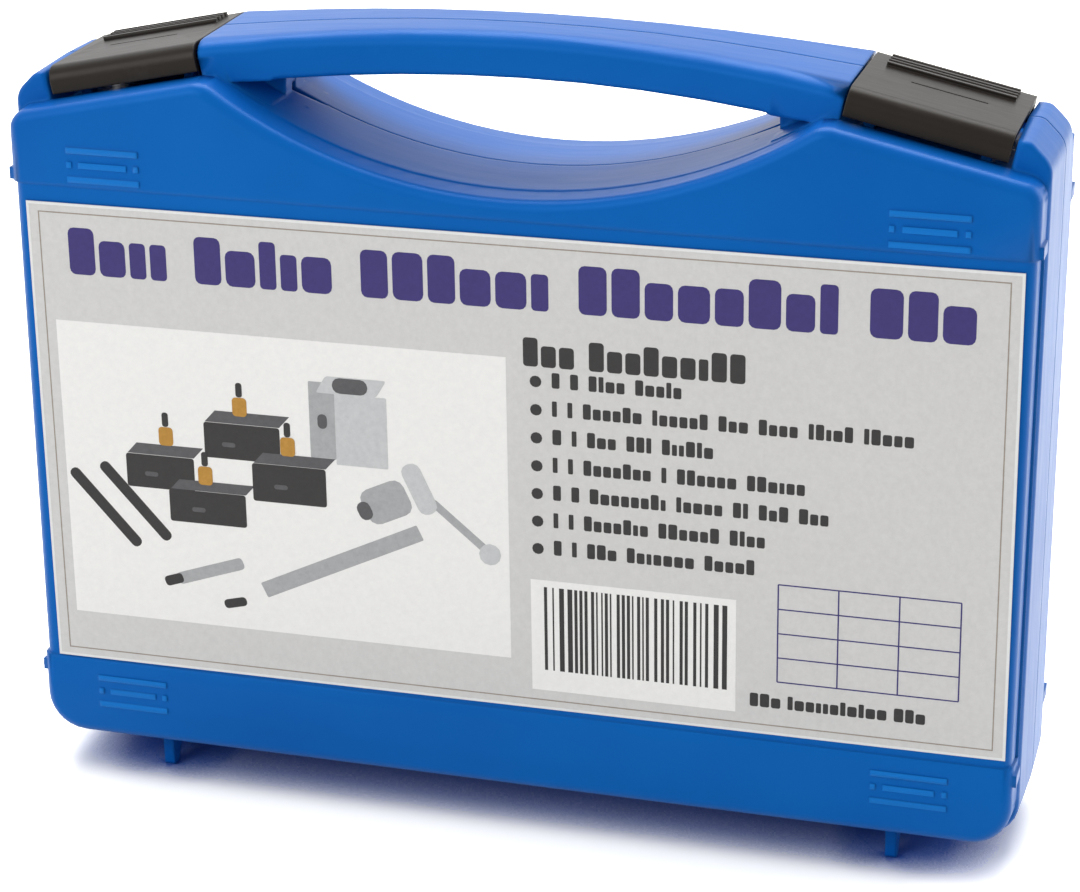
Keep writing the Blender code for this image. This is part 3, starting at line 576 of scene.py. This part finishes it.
# a plain drawing of four small holders, a bored block, a knob with a lever, bars and rods:
# each shape is u, v, width, height, corner radius, layer, angle, lean
drawingShapes = {
    "labelDrawingDark": (blackInk, (
        (-81.8, -6.8, 16.4, 8.0, 0.6, 1), (-61.8, 2.2, 18.0, 8.4, 0.6, 1),
        (-70.8, -14.4, 18.4, 7.8, 0.6, 2), (-51.0, -6.9, 17.4, 9.0, 0.6, 2),
        (-80.0, 6.0, 1.5, 3.4, 0.6, 2), (-62.0, 14.6, 1.5, 3.4, 0.6, 2),
        (-71.0, -2.6, 1.5, 3.4, 0.6, 3), (-51.0, 6.2, 1.5, 3.4, 0.6, 3),
        (-95.7, -16.6, 23.2, 2.7, 1.2, 1, 48.0), (-88.3, -14.4, 23.2, 2.7, 1.2, 1, 48.0),
        (-80.0, -32.8, 4.6, 2.4, 0.8, 2, -19.0), (-65.3, -37.0, 5.6, 2.2, 0.9, 1, -14.0))),
    "labelDrawingGraphite": (graphiteInk, (
        (-80.4, -1.4, 16.0, 2.6, 0.0, 1, 0.0, 0.9), (-60.4, 7.9, 17.6, 2.8, 0.0, 1, 0.0, 0.9),
        (-69.4, -9.2, 18.0, 2.4, 0.0, 2, 0.0, 0.9), (-49.6, -1.0, 17.0, 2.6, 0.0, 2, 0.0, 0.9),
        (-84.0, -7.4, 3.2, 1.1, 0.5, 2), (-65.0, 1.4, 3.2, 1.1, 0.5, 2),
        (-73.0, -15.0, 3.2, 1.1, 0.5, 3), (-53.0, -7.6, 3.2, 1.1, 0.5, 3),
        (-35.9, 17.7, 8.2, 3.6, 1.7, 3), (-33.4, -11.3, 3.2, 4.4, 1.5, 3, -25.0),
        (-42.6, 9.0, 2.2, 3.4, 1.0, 3))),
    "labelDrawingBrass": (brassInk, (
        (-80.0, 2.0, 3.4, 4.4, 0.8, 3), (-62.0, 10.6, 3.4, 4.4, 0.8, 3),
        (-71.0, -6.6, 3.4, 4.4, 0.8, 4), (-51.0, 2.2, 3.4, 4.4, 0.8, 4))),
    "labelDrawingSteel": (steelInk, (
        (-42.6, 9.2, 6.0, 18.0, 0.3, 1), (-28.4, -8.8, 11.0, 8.6, 2.4, 1, -25.0),
        (-11.0, -13.2, 18.0, 1.9, 0.9, 1, 40.0), (-39.4, -24.2, 41.5, 3.8, 0.3, 1, -25.5),
        (-71.0, -29.8, 17.0, 2.9, 0.9, 1, -19.0))),
    "labelDrawingBright": (brightInk, (
        (-33.6, 7.4, 12.0, 16.6, 0.3, 2), (-35.7, 17.7, 14.0, 4.0, 0.6, 2, 0.0, 0.6),
        (-20.6, -4.9, 4.6, 12.4, 2.0, 2, -25.0), (-4.6, -18.8, 5.0, 5.0, 2.4, 2))),
}
for name, (ink, shapes) in drawingShapes.items():
    drawing = bmesh.new()
    for shape in shapes:
        addField(drawing, *shape)
    finishPrint(drawing, name, ink)
print("label printed")


# plain white studio: a pale floor that keeps the shadow, and white all round for reflections
stageLook = {
    "floorHalf": 4.0,
    "floorCells": 8,
    "floorColour": "#e6e4de",
    "floorGain": 2.45,
    "floorGlossShare": 0.62,    # how much of that gain reflections of the floor see
    "fibreScale": 40.0,
    "fibreSpread": 0.01,
    # the colour of the shade painted on the board where the case hems it in
    "shadeColour": "#4868b0",
    "shadeReach": 0.014,
    "shadeFull": 0.37,          # share of open sky at which the shade is full, and gone
    "shadeGone": 0.84,
    "skyFill": 0.50,
    "glossGain": 1.20,
}


# matt white board, very slightly uneven, whose lit part burns out to white for the camera
def studioFloor():
    board = bmesh.new()
    bmesh.ops.create_grid(board, x_segments=stageLook["floorCells"],
                          y_segments=stageLook["floorCells"], size=stageLook["floorHalf"])
    material, tree, shader, place = startMaterial("mattWhiteBoard")
    path = addNode(tree, "LightPath")
    mirrored = addNode(tree, "Math", {
        0: path.outputs["Is Glossy Ray"], 1: stageLook["floorGlossShare"]}, operation="MULTIPLY")
    seen = addNode(tree, "Math", {
        0: path.outputs["Is Camera Ray"], 1: mirrored.outputs["Value"]}, operation="MAXIMUM")
    fibre = addNode(tree, "TexNoise", {
        "Vector": place, "Scale": stageLook["fibreScale"], "Detail": 3.0})
    tone = addNode(tree, "MapRange", {
        "Value": fibre.outputs["Fac"], "To Min": 1.0 - stageLook["fibreSpread"],
        "To Max": 1.0 + stageLook["fibreSpread"]})
    lifted = addNode(tree, "MapRange", {
        "Value": seen.outputs["Value"], "To Min": 1.0, "To Max": stageLook["floorGain"]})
    gain = addNode(tree, "Math", {
        0: tone.outputs["Result"], 1: lifted.outputs["Result"]}, operation="MULTIPLY")
    base = linearColour(stageLook["floorColour"])
    colour = addNode(tree, "VectorMath", {
        0: base[:3], "Scale": gain.outputs["Value"]}, operation="SCALE")
    # a deep blue shade is painted into the board's colour right under the case and next to its
    # feet, where the case hems it in
    aside = addNode(tree, "AmbientOcclusion", {"Distance": stageLook["shadeReach"]}, samples=8)
    openShare = addNode(tree, "MapRange", {
        "Value": aside.outputs["AO"], "From Min": stageLook["shadeFull"],
        "From Max": stageLook["shadeGone"]}, interpolation_type="SMOOTHSTEP")
    shaded = addNode(tree, "Mix", {
        0: openShare.outputs["Result"], 6: linearColour(stageLook["shadeColour"]),
        7: colour.outputs["Vector"]}, data_type="RGBA")
    matt = addNode(tree, "BsdfDiffuse", {"Color": shaded.outputs[2]})
    tree.links.new(matt.outputs["BSDF"], tree.nodes["Material Output"].inputs["Surface"])
    floor = addPiece("studioFloor", board, material)


def studioSky():
    world = bpy.data.worlds.new("studioSky")
    world.use_nodes = True
    bpy.context.scene.world = world
    tree = world.node_tree
    path = addNode(tree, "LightPath")
    clear = addNode(tree, "Math", {
        0: path.outputs["Is Camera Ray"], 1: path.outputs["Is Transmission Ray"]},
        operation="MAXIMUM")
    seen = addNode(tree, "MapRange", {
        "Value": clear.outputs["Value"], "To Min": stageLook["skyFill"], "To Max": 1.0})
    strength = addNode(tree, "MapRange", {
        "Value": path.outputs["Is Glossy Ray"], "To Min": seen.outputs["Result"],
        "To Max": stageLook["glossGain"]})
    background = tree.nodes["Background"]
    background.inputs["Color"].default_value = (1.0, 1.0, 1.0, 1.0)
    tree.links.new(strength.outputs["Result"], background.inputs["Strength"])


softboxAim = Vector((0.0, 0.0, 0.09))
softboxes = {
    "topBox": {"at": (-0.10, 0.45, 1.20), "size": (1.1, 0.8), "watts": 13.0},
    "sideBox": {"at": (1.15, 0.55, 0.55), "size": (0.9, 0.9), "watts": 7.0},
    "frontBox": {"at": (-0.85, -1.35, 0.95), "size": (1.0, 1.0), "watts": 13.0},
}


def addSoftbox(name, box):
    light = bpy.data.lights.new(name, "AREA")
    light.shape = "RECTANGLE"
    light.size, light.size_y = box["size"]
    light.energy = box["watts"]
    lamp = bpy.data.objects.new(name, light)
    bpy.context.scene.collection.objects.link(lamp)
    lamp.location = box["at"]
    lamp.rotation_euler = (softboxAim - Vector(box["at"])).to_track_quat("-Z", "Y").to_euler()


studioFloor()
studioSky()
for name, box in softboxes.items():
    addSoftbox(name, box)

# the camera stands where the photograph was taken, with the photograph's own slight roll
cameraView = {
    "at": (0.1878, -0.6389, 0.3418),
    "azimuth": 16.344,
    "elevation": 21.247,
    "roll": -0.425,
    "lens": 105.96,
    "sensor": 36.0,
    "nearClip": 0.02,
    "farClip": 50.0,
}


def addCamera():
    azimuth, elevation, roll = (math.radians(cameraView[key])
                                for key in ("azimuth", "elevation", "roll"))
    ahead = Vector((-math.sin(azimuth) * math.cos(elevation),
                    math.cos(azimuth) * math.cos(elevation), -math.sin(elevation)))
    right = ahead.cross(Vector((0.0, 0.0, 1.0))).normalized()
    up = right.cross(ahead)
    rolledRight = right * math.cos(roll) + up * math.sin(roll)
    rolledUp = up * math.cos(roll) - right * math.sin(roll)
    turn = Matrix((rolledRight, rolledUp, -ahead)).transposed().to_4x4()
    lens = bpy.data.cameras.new("studioCamera")
    lens.sensor_width = cameraView["sensor"]
    lens.lens = cameraView["lens"]
    lens.clip_start, lens.clip_end = cameraView["nearClip"], cameraView["farClip"]
    camera = bpy.data.objects.new("studioCamera", lens)
    bpy.context.scene.collection.objects.link(camera)
    camera.matrix_world = Matrix.Translation(cameraView["at"]) @ turn
    bpy.context.scene.camera = camera


addCamera()
bpy.context.scene.view_settings.view_transform = "Standard"
print("stage, lights and camera set")
